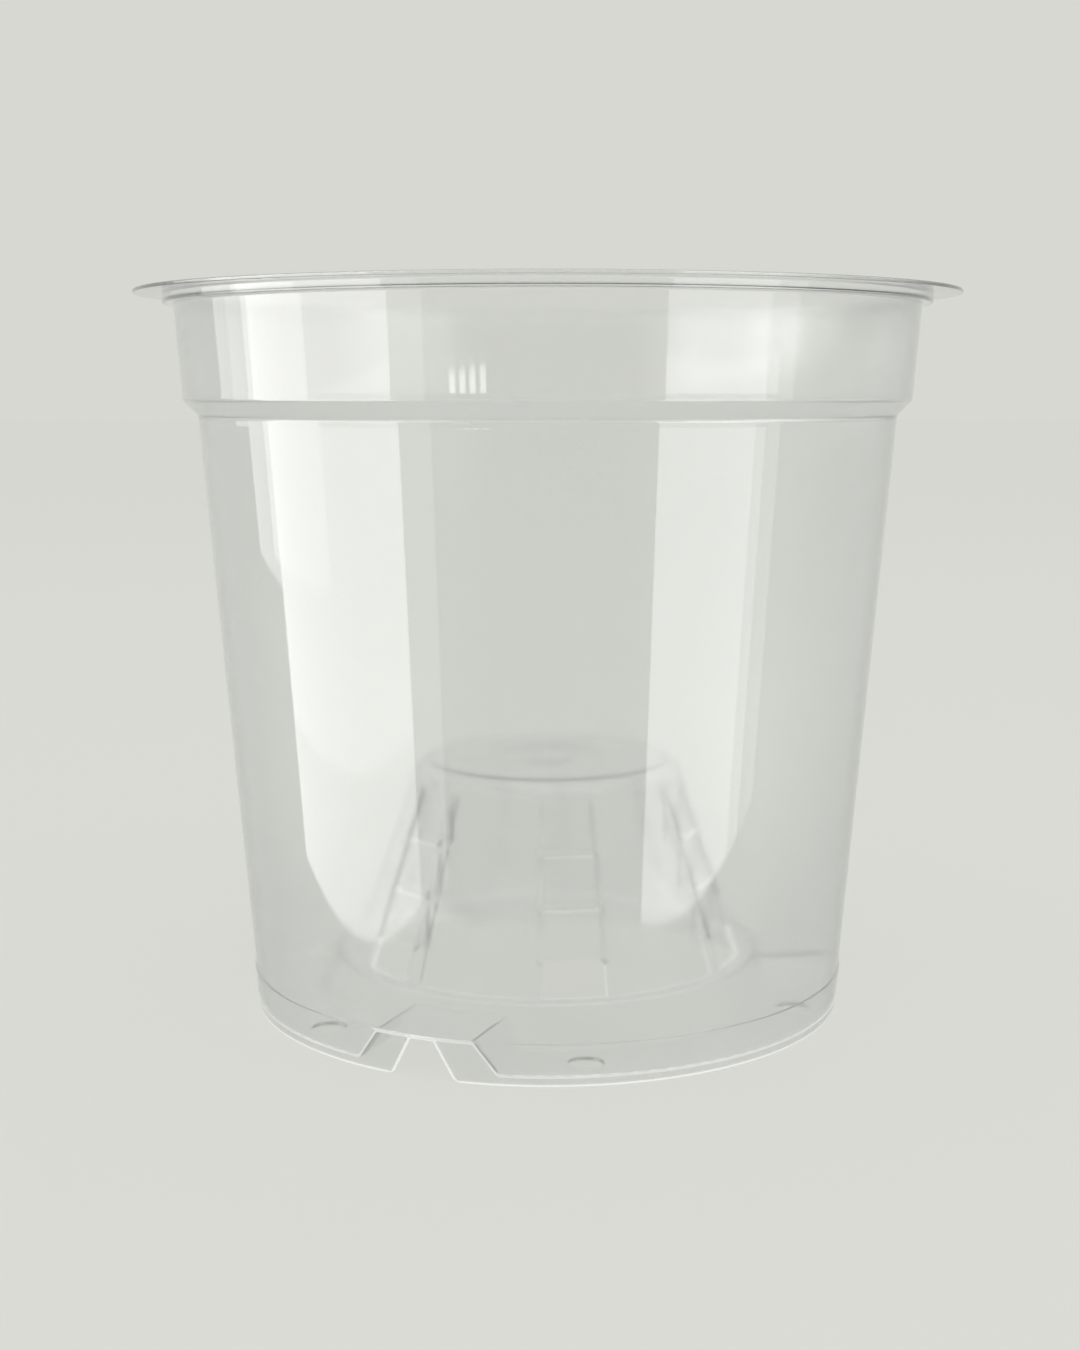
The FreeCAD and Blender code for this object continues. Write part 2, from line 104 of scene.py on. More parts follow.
# Top of the cone: its bevel, its shallow dish and the raised gate mark in the dish.
SHOULDER_RADIUS = 31.9 * MM
BEVEL_WIDTH = 3.1 * MM
BEVEL_DROP = 2.4 * MM
BEVEL_ROUND = EDGE_ROUND * 3
SHOULDER_DROP = BEVEL_DROP / 3
SHOULDER_LEAN_SHARE = 0.3
DISH_RADIUS = 12.0 * MM
DISH_DEPTH = 0.7 * MM
DISH_TOP_RADIUS = DISH_RADIUS + DISH_DEPTH * 2
DISH_FOOT_RADIUS = DISH_RADIUS - DISH_DEPTH
DISH_ROUND = EDGE_ROUND * 4
GATE_RADIUS = 6.5 * MM
GATE_RISE = 0.4 * MM
GATE_FOOT_RADIUS = GATE_RADIUS + GATE_RISE * 2
GATE_TOP_RADIUS = GATE_RADIUS - GATE_RISE
GATE_ROUND = EDGE_ROUND * 2
CAP_CENTRE = 0.6 * MM
UNDER_CENTRE = 0.5 * MM

# Columns and rows of the meshes, the shell with one column for each degree.
FULL_TURN = 360
COLUMNS = FULL_TURN
NOTCH_PITCH = COLUMNS // NOTCH_COUNT
NOTCH_COLUMN = 4
CALM_COLUMN = 16
NOTCH_ROWS = 5
LOW_WALL_ROWS = [height * MM for height in (12, 16, 20, 25, 30)]
HIGH_WALL_ROWS = [height * MM for height in (60, 90, 115)]
CALM_TOP = LOW_WALL_ROWS[-1]
ARC_STEP = 15.0
FEWEST_ARC_STEPS = 2
SHARP_ANGLE = 38.0
EDGE_STEPS = 5
SIDE_STEPS = 6
RAIL_STEPS = 2
FIELD_COLUMNS = 26
LOW_FLOOR_ROWS = 9
RISER_ROWS = 16
PLATFORM_ROWS = 4
HOLE_SIDES = 64

# Places of the materials in a mesh.
OUTSIDE, EDGES, LINING = range(3)


def top(node):
    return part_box(node)[1].z


def reach(node):
    """Largest radius of a round node."""
    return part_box(node)[1].x


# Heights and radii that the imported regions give, and what follows from them.
MOUTH = top("rim_flange")
RIM_RADIUS = reach("rim_flange")
BODY_TOP = top("body_wall")
SKIRT_TOP = top("foot_skirt")
PLATFORM = top("base_step")
SHOULDER = top("cone_wall")
CONE_TOP = top("cone_cap")
CONE_BASE_RADIUS = reach("cone_wall")
FLANGE_FOOT = MOUTH - WALL
BAND_FOOT = FLANGE_FOOT - BAND_HEIGHT
STEP_FOOT = BODY_TOP + STEP_LAND
COLLAR_FOOT = STEP_FOOT + STEP_HEIGHT
COLLAR_LINE = COLLAR_FOOT + STEP_LAND
FLOOR_TOP = FLOOR_GAP + WALL
LOUVRE_TOP = SHOULDER - LOUVRE_DROP
WINDOW_TOP = PLATFORM + WINDOW_HEIGHT
FOOT_RADIUS = (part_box("rim_flange")[1].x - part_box("rim_flange")[0].x) / 2 - FOOT_INSET
WALL_FOOT_RADIUS = FOOT_RADIUS - FOOT_PROUD


def polar(radius, degrees, height):
    turn = math.radians(degrees)
    return Vector((radius * math.cos(turn), radius * math.sin(turn), height))


def between(low, high, share):
    return low + (high - low) * share


def halfway(low, high):
    return (low + high) / 2


def spread(low, high, steps):
    return [between(low, high, step / steps) for step in range(steps)]


def fillet(before, corner, after, radius, steps):
    """Points of the arc that rounds an outline's corner."""
    back, on = (before - corner).normalized(), (after - corner).normalized()
    half = back.angle(on) / 2
    reach_back = radius / math.tan(half)
    centre = corner + (back + on).normalized() * radius / math.sin(half)
    start = corner + back * reach_back - centre
    end = corner + on * reach_back - centre
    sweep = start.angle_signed(end)
    return [centre + Matrix.Rotation(-sweep * k / steps, 2) @ start for k in range(steps + 1)]


def rounded(corners):
    """An outline from (across, up, rounding) corners, with arcs at those whose rounding isn't 0."""
    points = []
    spots = [Vector(corner[:2]) for corner in corners]
    for number, here in enumerate(spots):
        radius = corners[number][-1]
        if not radius:
            points.append(here)
            continue
        before, after = spots[number - 1], spots[(number + 1) % len(spots)]
        turn = math.pi - (before - here).angle(after - here)
        steps = max(FEWEST_ARC_STEPS, math.ceil(math.degrees(turn) / ARC_STEP))
        points += fillet(before, here, after, radius, steps)
    return points


def wall_radius(height):
    """Outer radius of the tapered wall's straight line."""
    return between(WALL_FOOT_RADIUS, BODY_TOP_RADIUS, height / BODY_TOP)


def inner_radius(height):
    return wall_radius(height) - WALL


def notch_half(height):
    """Half of a notch's width at a height, with the rounded corner at its foot."""
    run = NOTCH_FOOT_HALF + NOTCH_CORNER * NOTCH_RUN_SHARE
    rise = NOTCH_CORNER * NOTCH_RISE_SHARE
    if height <= rise:
        return run - math.sqrt(NOTCH_CORNER**2 - (NOTCH_CORNER - height) ** 2)
    return between(notch_half(rise), NOTCH_TOP_HALF, (height - rise) / (NOTCH_HEIGHT - rise))


def notch_place(column):
    """Columns from the middle of the nearest notch."""
    return (column + NOTCH_PITCH // 2) % NOTCH_PITCH - NOTCH_PITCH // 2


def shell_bearing(column, radius, height):
    """Bearing of a column of the shell, drawn in beside a notch so that it follows the notch's edge."""
    place = notch_place(column)
    edge = math.degrees(math.asin(notch_half(min(height, NOTCH_HEIGHT)) / radius))
    calm = min(max((height - NOTCH_HEIGHT) / (CALM_TOP - NOTCH_HEIGHT), 0), 1)
    lip = between(edge + math.degrees(NOTCH_LIP / radius), NOTCH_COLUMN + 1, calm)
    edge = between(edge, NOTCH_COLUMN, calm)
    away = abs(place)
    if away <= NOTCH_COLUMN:
        turn = edge * away / NOTCH_COLUMN
    elif away < CALM_COLUMN:
        turn = between(lip, CALM_COLUMN, (away - NOTCH_COLUMN - 1) / (CALM_COLUMN - NOTCH_COLUMN - 1))
    else:
        turn = away
    return NOTCH_BEARING + column - place + math.copysign(turn, place)


def notch_heights():
    """Heights of the rows that a notch's outline runs through."""
    rise = NOTCH_CORNER * NOTCH_RISE_SHARE
    end = math.acos(1 - NOTCH_RISE_SHARE)
    arc = [NOTCH_CORNER * (1 - math.cos(end * k / NOTCH_ROWS)) for k in range(NOTCH_ROWS)]
    return arc + [between(rise, NOTCH_HEIGHT, k / NOTCH_ROWS) for k in range(NOTCH_ROWS + 1)]


def outer_outline(skirt_rows):
    """Outside of the wall from the foot up, as (radius, height, rounding) corners."""
    skirt_radius = wall_radius(SKIRT_TOP) + FOOT_PROUD
    return [
        *[(between(FOOT_RADIUS, skirt_radius, z / SKIRT_TOP), z, 0) for z in skirt_rows],
        (skirt_radius, SKIRT_TOP, LEDGE_ROUND),
        (wall_radius(SKIRT_TOP), SKIRT_TOP, LEDGE_ROUND),
        *[(wall_radius(z), z, 0) for z in LOW_WALL_ROWS + HIGH_WALL_ROWS],
        (BODY_TOP_RADIUS, BODY_TOP, KINK_ROUND),
        (BODY_TOP_RADIUS, STEP_FOOT, STEP_ROUND),
        (COLLAR_FOOT_RADIUS, COLLAR_FOOT, STEP_ROUND),
        (COLLAR_FOOT_RADIUS, COLLAR_LINE, KINK_ROUND),
        (halfway(COLLAR_FOOT_RADIUS, COLLAR_TOP_RADIUS), halfway(COLLAR_LINE, BAND_FOOT), 0),
        (COLLAR_TOP_RADIUS, BAND_FOOT, BAND_ROUND),
        (BAND_RADIUS, BAND_FOOT, BAND_ROUND),
        (BAND_RADIUS, FLANGE_FOOT, COVE_RADIUS),
        (RIM_RADIUS, FLANGE_FOOT, EDGE_ROUND),
        (RIM_RADIUS, MOUTH, EDGE_ROUND),
    ]


def inner_outline(skirt_rows):
    """Inside of the wall from the mouth down, as (radius, height, rounding) corners."""
    lift = WALL * MITRE_SHARE
    return [
        (BAND_RADIUS - WALL, MOUTH, EDGE_ROUND),
        (BAND_RADIUS - WALL, BAND_FOOT + WALL, BAND_ROUND),
        (COLLAR_TOP_RADIUS - WALL, BAND_FOOT + WALL, BAND_ROUND),
        (halfway(COLLAR_FOOT_RADIUS, COLLAR_TOP_RADIUS) - WALL, halfway(COLLAR_LINE, BAND_FOOT), 0),
        (COLLAR_FOOT_RADIUS - WALL, COLLAR_LINE, KINK_ROUND),
        (COLLAR_FOOT_RADIUS - WALL, COLLAR_FOOT + lift, INNER_ROUND),
        (BODY_TOP_RADIUS - WALL, STEP_FOOT + lift, INNER_ROUND),
        (BODY_TOP_RADIUS - WALL, BODY_TOP, KINK_ROUND),
        *[(inner_radius(z), z, 0) for z in reversed(LOW_WALL_ROWS + HIGH_WALL_ROWS)],
        (inner_radius(SKIRT_TOP), SKIRT_TOP, 0),
        *[(inner_radius(z), z, 0) for z in reversed(skirt_rows)],
    ]


def shell_profile():
    """Closed outline of the wall, and the number of its lowest rows that a notch cuts."""
    low = notch_heights()
    skirt_rows = [*low, NOTCH_HEIGHT + EDGE_LIP]
    return rounded(outer_outline(skirt_rows) + inner_outline(skirt_rows)), len(low)


def even_normals(piece):
    """Keeps the piece's sharp edges, and shades its large faces flat beside small ones."""
    piece.data.set_sharp_from_angle(angle=math.radians(SHARP_ANGLE))
    even = piece.modifiers.new("even", "WEIGHTED_NORMAL")
    even.keep_sharp = True


def mesh_object(name, mesh, materials):
    """A new smooth piece from a bmesh."""
    bmesh.ops.recalc_face_normals(mesh, faces=mesh.faces)
    for face in mesh.faces:
        face.smooth = True
    data = bpy.data.meshes.new(name)
    mesh.to_mesh(data)
    mesh.free()
    piece = bpy.data.objects.new(name, data)
    bpy.context.scene.collection.objects.link(piece)
    for material in materials:
        data.materials.append(material)
    even_normals(piece)
    return piece


def edge_pull(index, count, low, place, height):
    """How far a vertex of the shell lies behind its face, at the rounded foot and round a notch."""
    in_low_rows = index < low or index >= count - low
    beside_notch = in_low_rows and abs(place) == NOTCH_COLUMN
    above_notch = index in (low - 1, count - low) and abs(place) <= NOTCH_COLUMN
    if beside_notch or above_notch:
        return EDGE_LIP
    down = max(EDGE_LIP - height, 0)
    return EDGE_LIP - math.sqrt(EDGE_LIP**2 - down**2)


def shell_grid(mesh, profile, low):
    """Vertices of the shell, one row for each point of its outline."""
    count = len(profile)
    grid = []
    for index, spot in enumerate(profile):
        row = []
        for column in range(COLUMNS):
            pull = edge_pull(index, count, low, notch_place(column), spot.y)
            radius = spot.x - pull if index < count / 2 else spot.x + pull
            row.append(mesh.verts.new(polar(radius, shell_bearing(column, spot.x, spot.y), spot.y)))
        grid.append(row)
    return grid


def wall_faces(mesh, grid, profile, low):
    """Faces of the shell's two sides, left open at the notches."""
    count = len(profile)
    turn_in = [spot.y > MOUTH - EDGE_ROUND and spot.x < BAND_RADIUS for spot in profile].index(True)
    for index in range(count):
        after = (index + 1) % count
        in_notch_row = index < low - 1 or index >= count - low
        over_notch = index in (low - 1, count - low - 1)
        side = LINING if index >= turn_in else OUTSIDE
        if max(profile[index].y, profile[after].y) < EDGE_LIP * 2:
            side = EDGES
        for column in range(COLUMNS):
            place = notch_place(column)
            if in_notch_row and -NOTCH_COLUMN <= place < NOTCH_COLUMN:
                continue
            beside_notch = in_notch_row and place in (-NOTCH_COLUMN - 1, NOTCH_COLUMN)
            above_notch = over_notch and -NOTCH_COLUMN - 1 <= place <= NOTCH_COLUMN
            beside = (column + 1) % COLUMNS
            corners = (grid[index][column], grid[index][beside], grid[after][beside], grid[after][column])
            mesh.faces.new(corners).material_index = EDGES if beside_notch or above_notch else side


def notch_faces(mesh, grid, low, middle):
    """Cut faces at the two sides and the top of one notch."""
    count = len(grid)
    for side in (-NOTCH_COLUMN, NOTCH_COLUMN):
        column = (middle + side) % COLUMNS
        for index in range(low - 1):
            mirror = count - 1 - index
            corners = [grid[row][column] for row in (index, index + 1, mirror - 1, mirror)]
            mesh.faces.new(corners).material_index = EDGES
    upper, mirror = grid[low - 1], grid[count - low]
    for step in range(-NOTCH_COLUMN, NOTCH_COLUMN):
        column, beside = (middle + step) % COLUMNS, (middle + step + 1) % COLUMNS
        corners = (upper[column], upper[beside], mirror[beside], mirror[column])
        mesh.faces.new(corners).material_index = EDGES


def make_shell(materials):
    """Wall of the pot, from the foot with its notches up to the flange."""
    profile, low = shell_profile()
    mesh = bmesh.new()
    grid = shell_grid(mesh, profile, low)
    wall_faces(mesh, grid, profile, low)
    for notch in range(NOTCH_COUNT):
        notch_faces(mesh, grid, low, notch * NOTCH_PITCH)
    loose = [vert for vert in mesh.verts if not vert.link_faces]
    bmesh.ops.delete(mesh, geom=loose, context="VERTS")
    return mesh_object("pot_shell", mesh, materials)


def soft_least(one, other):
    """The smaller of two heights, blended where they meet."""
    share = max(SOFTENING - abs(one - other), 0) / SOFTENING
    return min(one, other) - share**2 * SOFTENING / 4


def soft_most(one, other):
    return -soft_least(-one, -other)


def floor_height(radius, offset):
    """Height of the drain floor's top at a radius and at a distance beside a channel's middle."""
    steep = (PLATFORM - FLOOR_TOP) / (RISER_FOOT_RADIUS - PLATFORM_RADIUS)
    riser = soft_least(PLATFORM, FLOOR_TOP + steep * (RISER_FOOT_RADIUS - radius))
    low = soft_most(FLOOR_TOP, riser)
    side = (SKIRT_TOP - FLOOR_TOP) / (CHANNEL_FOOT_HALF - CHANNEL_TOP_HALF)
    roof = soft_least(SKIRT_TOP, SKIRT_TOP - side * (offset - CHANNEL_TOP_HALF))
    return soft_most(low, roof)


def channel_offsets():
    """Distances of the grid's columns from a channel's middle, closer together at its edges."""
    edge = SOFTENING
    half = [
        *spread(0, CHANNEL_TOP_HALF - edge, EDGE_STEPS),
        *spread(CHANNEL_TOP_HALF - edge, CHANNEL_TOP_HALF + edge, EDGE_STEPS),
        *spread(CHANNEL_TOP_HALF + edge, CHANNEL_FOOT_HALF - edge, SIDE_STEPS),
        *spread(CHANNEL_FOOT_HALF - edge, CHANNEL_FOOT_HALF + edge, EDGE_STEPS),
        CHANNEL_FOOT_HALF + edge,
    ]
    return [-offset for offset in reversed(half[1:])] + half


def floor_column(column, radius):
    """Bearing of a column of the floor and its distance beside the nearest channel's middle."""
    offsets = channel_offsets()
    channel, place = divmod(column, len(offsets) + FIELD_COLUMNS)
    sector = FULL_TURN / NOTCH_COUNT
    middle = NOTCH_BEARING + sector * channel
    if place < len(offsets):
        turn = math.degrees(math.asin(offsets[place] / radius))
        return middle + turn, abs(offsets[place])
    last = math.degrees(math.asin(offsets[-1] / radius))
    share = (place - len(offsets) + 1) / (FIELD_COLUMNS + 1)
    turn = between(last, sector - last, share)
    nearest = min(turn, sector - turn)
    return middle + turn, radius * math.sin(math.radians(nearest))


def floor_rows():
    """Radii of the floor's rows, from the wall in to the cone."""
    edge = SOFTENING
    return [
        *spread(inner_radius(FLOOR_TOP), RISER_FOOT_RADIUS + edge, LOW_FLOOR_ROWS),
        *spread(RISER_FOOT_RADIUS + edge, PLATFORM_RADIUS - edge, RISER_ROWS),
        *spread(PLATFORM_RADIUS - edge, CONE_BASE_RADIUS, PLATFORM_ROWS),
        CONE_BASE_RADIUS,
    ]


def make_floor(materials):
    """Drain floor: low ring with its holes, three channels and the raised ring that carries the cone."""
    mesh = bmesh.new()
    columns = (len(channel_offsets()) + FIELD_COLUMNS) * NOTCH_COUNT
    grid = []
    for number, radius in enumerate(floor_rows()):
        row = []
        for column in range(columns):
            here = radius
            bearing, offset = floor_column(column, here)
            height = floor_height(here, offset)
            if number == 0:
                here = inner_radius(height)
                bearing, offset = floor_column(column, here)
            row.append(mesh.verts.new(polar(here, bearing, height)))
        grid.append(row)
    for row, after in zip(grid, grid[1:]):
        for column in range(columns):
            beside = (column + 1) % columns
            mesh.faces.new((row[column], row[beside], after[beside], after[column]))
    bmesh.ops.recalc_face_normals(mesh, faces=mesh.faces)
    if grid[LOW_FLOOR_ROWS // 2][0].normal.z < 0:
        bmesh.ops.reverse_faces(mesh, faces=mesh.faces)
    mesh.normal_update()
    thicken(mesh, grid)
    piece = mesh_object("drain_floor", mesh, materials)
    drill(piece)
    return piece


def thicken(mesh, grid):
    """Adds the underside of a one-sided grid, a wall's thickness below, and joins its rims."""
    columns = len(grid[0])
    under = []
    for number, row in enumerate(grid):
        below = []
        for vert in row:
            drop = vert.normal * vert.calc_shell_factor()
            if number in (0, len(grid) - 1):
                drop = Vector((0, 0, 1))
            below.append(mesh.verts.new(vert.co - drop * WALL))
        under.append(below)
    for row, after in zip(under, under[1:]):
        for column in range(columns):
            beside = (column + 1) % columns
            mesh.faces.new((row[beside], row[column], after[column], after[beside]))
    for row, below in ((grid[0], under[0]), (grid[-1], under[-1])):
        for column in range(columns):
            beside = (column + 1) % columns
            corners = (row[column], row[beside], below[beside], below[column])
            mesh.faces.new(corners).material_index = EDGES


def drill(piece):
    """Cuts the round drain holes, half a louvre's pitch beside each channel."""
    piece.modifiers.clear()
    ring = halfway(RISER_FOOT_RADIUS, WALL_FOOT_RADIUS - WALL)
    for number in range(LOUVRE_COUNT):
        bearing = NOTCH_BEARING + FULL_TURN / LOUVRE_COUNT * halfway(number, number + 1)
        bpy.ops.mesh.primitive_cylinder_add(
            vertices=HOLE_SIDES,
            radius=DRAIN_RADIUS,
            depth=DRILL_DEPTH,
            location=polar(ring, bearing, FLOOR_TOP - WALL / 2),
        )
        cutter = bpy.context.object
        cut = piece.modifiers.new("cut", "BOOLEAN")
        cut.operation = "DIFFERENCE"
        cut.solver = "EXACT"
        cut.object = cutter
        apply_modifiers(piece)
        bpy.data.objects.remove(cutter)
    even_normals(piece)


def apply_modifiers(piece):
    """Makes the piece's modifiers part of its mesh."""
    graph = bpy.context.evaluated_depsgraph_get()
    solid = bpy.data.meshes.new_from_object(piece.evaluated_get(graph))
    piece.modifiers.clear()
    old, piece.data = piece.data, solid
    solid.name = piece.name
    bpy.data.meshes.remove(old)


def cone_radius(height):
    share = (height - PLATFORM) / (SHOULDER - PLATFORM)
    return between(CONE_BASE_RADIUS, SHOULDER_RADIUS, share)


def slat_height(index):
    """Upper edge of a slat, counted down from the top of the louvres."""
    return between(LOUVRE_TOP, WINDOW_TOP, index / SLAT_COUNT)


def cone_rows():
    """Rows of the cone's side from its foot up: height, and what fills the louvre there."""
    rows = [(PLATFORM - WALL, "plain"), (PLATFORM - SLOT_LIP, "plain"), (PLATFORM + SLOT_LIP, "window")]
    rows += [(halfway(PLATFORM, WINDOW_TOP), "window"), (WINDOW_TOP - SLOT_LIP, "window")]
    for index in reversed(range(SLAT_COUNT)):
        low, high = slat_height(index + 1) + SLOT_LIP, slat_height(index) - SLOT_LIP
        rows += [(height, index) for height in (low, halfway(low, high), high)]
    rows += [(LOUVRE_TOP + SLOT_LIP, "plain"), (SHOULDER - SHOULDER_DROP, "plain")]
    return rows


def cap_profile():
    """Top of the cone from its shoulder in to the middle, as (radius, height) points."""
    cap = SHOULDER_RADIUS - BEVEL_WIDTH
    dish = CONE_TOP - DISH_DEPTH
    corners = [
        (SHOULDER_RADIUS + SHOULDER_DROP * SHOULDER_LEAN_SHARE, SHOULDER - SHOULDER_DROP, 0),
        (SHOULDER_RADIUS, SHOULDER, BEVEL_ROUND),
        (cap, CONE_TOP, BEVEL_ROUND),
        (halfway(cap, DISH_RADIUS), CONE_TOP, 0),
        (DISH_TOP_RADIUS, CONE_TOP, DISH_ROUND),
        (DISH_FOOT_RADIUS, dish, DISH_ROUND),
        (GATE_FOOT_RADIUS, dish, GATE_ROUND),
        (GATE_TOP_RADIUS, dish + GATE_RISE, GATE_ROUND),
        (GATE_RADIUS / 2, dish + GATE_RISE, 0),
        (CAP_CENTRE, dish + GATE_RISE, 0),
    ]
    return rounded(corners)[1:]


def cap_outlines():
    """Outer and inner line of the cone's top."""
    outer = cap_profile()
    inner = []
    for number, spot in enumerate(outer):
        before, after = outer[max(number - 1, 0)], outer[min(number + 1, len(outer) - 1)]
        along = (after - before).normalized()
        inner.append(spot + Vector((along.y, -along.x)) * -WALL)
    for spot in inner:
        spot.x = max(spot.x, UNDER_CENTRE)
    return outer, inner


def louvre_columns():
    """Angles of one louvre's columns from its middle, closer together at its rails."""
    pitch = FULL_TURN / LOUVRE_COUNT
    rail_end = LOUVRE_HALF + RAIL_ANGLE
    side = [
        *spread(0, LOUVRE_HALF, SIDE_STEPS),
        LOUVRE_HALF,
        LOUVRE_HALF + CHEEK_SLOPE,
        *spread(LOUVRE_HALF + CHEEK_ANGLE, rail_end - CHEEK_SLOPE, RAIL_STEPS),
        rail_end - CHEEK_SLOPE,
        rail_end,
        *spread(rail_end + CHEEK_SLOPE, pitch / 2, SIDE_STEPS),
        pitch / 2,
    ]
    return [-angle for angle in reversed(side[1:-1])] + side


def cone_point(height, fill, angle, inside):
    """Radius of the cone's skin and the angle it lies at, for a column of a louvre."""
    plain = cone_radius(height)
    away = abs(angle)
    if inside:
        radius = plain - WALL
        in_slat = away <= LOUVRE_HALF and fill in range(SLAT_COUNT)
        if fill in range(SLAT_COUNT) and away <= LOUVRE_HALF + CHEEK_SLOPE:
            wide = LOUVRE_HALF + CHEEK_ANGLE
            past_slat = (wide + CHEEK_SLOPE) / (LOUVRE_HALF + CHEEK_SLOPE)
            angle *= wide / LOUVRE_HALF if in_slat else past_slat
        if in_slat:
            radius = cone_radius(slat_height(fill)) - WALL
        return radius, angle
    rail = LOUVRE_HALF <= away <= LOUVRE_HALF + RAIL_ANGLE - CHEEK_SLOPE / 2
    if fill != "plain" and rail:
        plain += RAIL_PROUD
    if fill in range(SLAT_COUNT) and away <= LOUVRE_HALF:
        plain = cone_radius(slat_height(fill))
    return plain, angle


def make_cone(materials):
    """Raised cone with its louvred panels and its bevelled, ringed top."""
    pitch = FULL_TURN / LOUVRE_COUNT
    first = NOTCH_BEARING + pitch / 2
    angles = louvre_columns()
    columns = [(first + pitch * louvre, angle) for louvre in range(LOUVRE_COUNT) for angle in angles]
    mesh = bmesh.new()
    skins, rows = ([], []), cone_rows()
    for height, fill in rows:
        for inside, skin in enumerate(skins):
            row = []
            for middle, angle in columns:
                radius, turn = cone_point(height, fill, angle, inside)
                row.append(mesh.verts.new(polar(radius, middle + turn, height)))
            skin.append(row)
    for spots in zip(*cap_outlines()):
        for skin, at in zip(skins, spots):
            skin.append([mesh.verts.new(polar(at.x, middle + angle, at.y)) for middle, angle in columns])
    join_skins(mesh, skins, open_louvre_cells(rows, columns))
    return mesh_object("air_cone", mesh, materials)


def open_louvre_cells(rows, columns):
    """Cells of the cone's grid that are slots or windows."""
    cells = set()
    for index in range(len(rows) - 1):
        fills = (rows[index][1], rows[index + 1][1])
        if fills == (0, "plain") or (fills[0] == fills[1] and fills[0] != "window"):
            continue
        for column, (_, angle) in enumerate(columns):
            if -LOUVRE_HALF <= angle < LOUVRE_HALF - CHEEK_SLOPE / 2:
                cells.add((index, column))
    return cells


def join_skins(mesh, skins, open_cells):
    """Faces of an outer and an inner grid, with their open cells and rims closed between the two."""
    outer, inner = skins
    count = len(outer[0])

    def is_open(index, column):
        return not 0 <= index < len(outer) - 1 or (index, column % count) in open_cells

    for index in range(len(outer) - 1):
        for column in range(count):
            if is_open(index, column):
                continue
            beside = (column + 1) % count
            corners = [(index, column), (index, beside), (index + 1, beside), (index + 1, column)]
            mesh.faces.new([outer[row][place] for row, place in corners])
            mesh.faces.new([inner[row][place] for row, place in reversed(corners)])
            neighbours = [(index - 1, column), (index, column + 1), (index + 1, column), (index, column - 1)]
            for number, (row, place) in enumerate(neighbours):
                if row == len(outer) - 1 or not is_open(row, place):
                    continue
                start, end = corners[number], corners[(number + 1) % len(corners)]
                around = ((outer, start), (outer, end), (inner, end), (inner, start))
                ends = [skin[row_index][spot] for skin, (row_index, spot) in around]
                mesh.faces.new(ends).material_index = EDGES
    for skin in skins:
        mesh.faces.new(skin[-1])


def add_node(tree, kind, **inputs):
    """A shader node with some of its inputs set."""
    node = tree.nodes.new(kind)
    for name, value in inputs.items():
        node.inputs[name.replace("_", " ")].default_value = value
    return node


def mix_shaders(tree, share, one, other):
    """Mix of two shaders by a share that is a socket or a number."""
    mix = tree.nodes.new("ShaderNodeMixShader")
    if isinstance(share, float):
        mix.inputs[0].default_value = share
    else:
        tree.links.new(share, mix.inputs[0])
    tree.links.new(one, mix.inputs[1])
    tree.links.new(other, mix.inputs[2])
    return mix.outputs[0]


def mix_colours(tree, share, one, other):
    mix = add_node(tree, "ShaderNodeMixRGB", Color1=one, Color2=other)
    tree.links.new(share, mix.inputs["Fac"])
    return mix.outputs["Color"]


def math_node(tree, operation, one, other, clamp=False):
    node = tree.nodes.new("ShaderNodeMath")
    node.operation = operation
    node.use_clamp = clamp
    for number, source in enumerate((one, other)):
        if isinstance(source, (int, float)):
            node.inputs[number].default_value = source
        else:
            tree.links.new(source, node.inputs[number])
    return node.outputs[0]


def ramp(tree, source, span, to_low, to_high):
    """Maps a span of values to another, with a smooth start and end."""
    node = tree.nodes.new("ShaderNodeMapRange")
    node.interpolation_type = "SMOOTHSTEP"
    low, high = span
    for name, value in (("From Min", low), ("From Max", high), ("To Min", to_low), ("To Max", to_high)):
        node.inputs[name].default_value = value
    tree.links.new(source, node.inputs["Value"])
    return node.outputs["Result"]


def noise(tree, place, scale, detail):
    node = add_node(tree, "ShaderNodeTexNoise", Scale=scale, Detail=detail)
    tree.links.new(place, node.inputs["Vector"])
    return node.outputs["Fac"]


# Polypropylene: how it bends and blurs light, and the tints of what it lets through or scatters, with
# painted shade on slopes, a lighter painted tint for the inner parts and a painted glow at the edges.
PLASTIC_INDEX = 1.49
BLUR = 0.12
WHITE = (1, 1, 1, 1)
CLEAR_TINT = (0.985, 0.986, 0.983, 1)
# Darker tint of the clear part on leaning faces: painted shade for the dark band at the step.
SLOPE_PAINTED_SHADE_TINT = (0.945, 0.946, 0.943, 1)
SHADOW_TINT = (0.84, 0.85, 0.84, 1)
MILK_TINT = (0.73, 0.732, 0.712, 1)
# Lighter milk tint for the floor and cone: painted light that makes up for the light the walls hold back.
INNER_PAINTED_LIGHT_TINT = (0.86, 0.862, 0.842, 1)
EDGE_TINT = (0.97, 0.97, 0.95, 1)
# Share of painted glow at the edges: emission standing in for light piped through the wall.
EDGE_PAINTED_GLOW_SHARE = 0.8
LIT_THROUGH_SHARE = 0.5

# Where milk gathers: lean of a face, angle to the view, and the sizes and spans of the noises.
LEAN_SPAN = (0.2, 0.75)
FACING_BLEND = 0.5
GRAZING_SPAN = (0.25, 1.0)
PATCH_SCALE = 22.0
PATCH_SPAN = (0.3, 0.7)
PATCH_SHARE = 0.02
SPECK_SCALE = 1400.0
SPECK_SPAN = (0.66, 0.8)
SPECK_SHARE = 0.02
FINE_DETAIL = 2.0

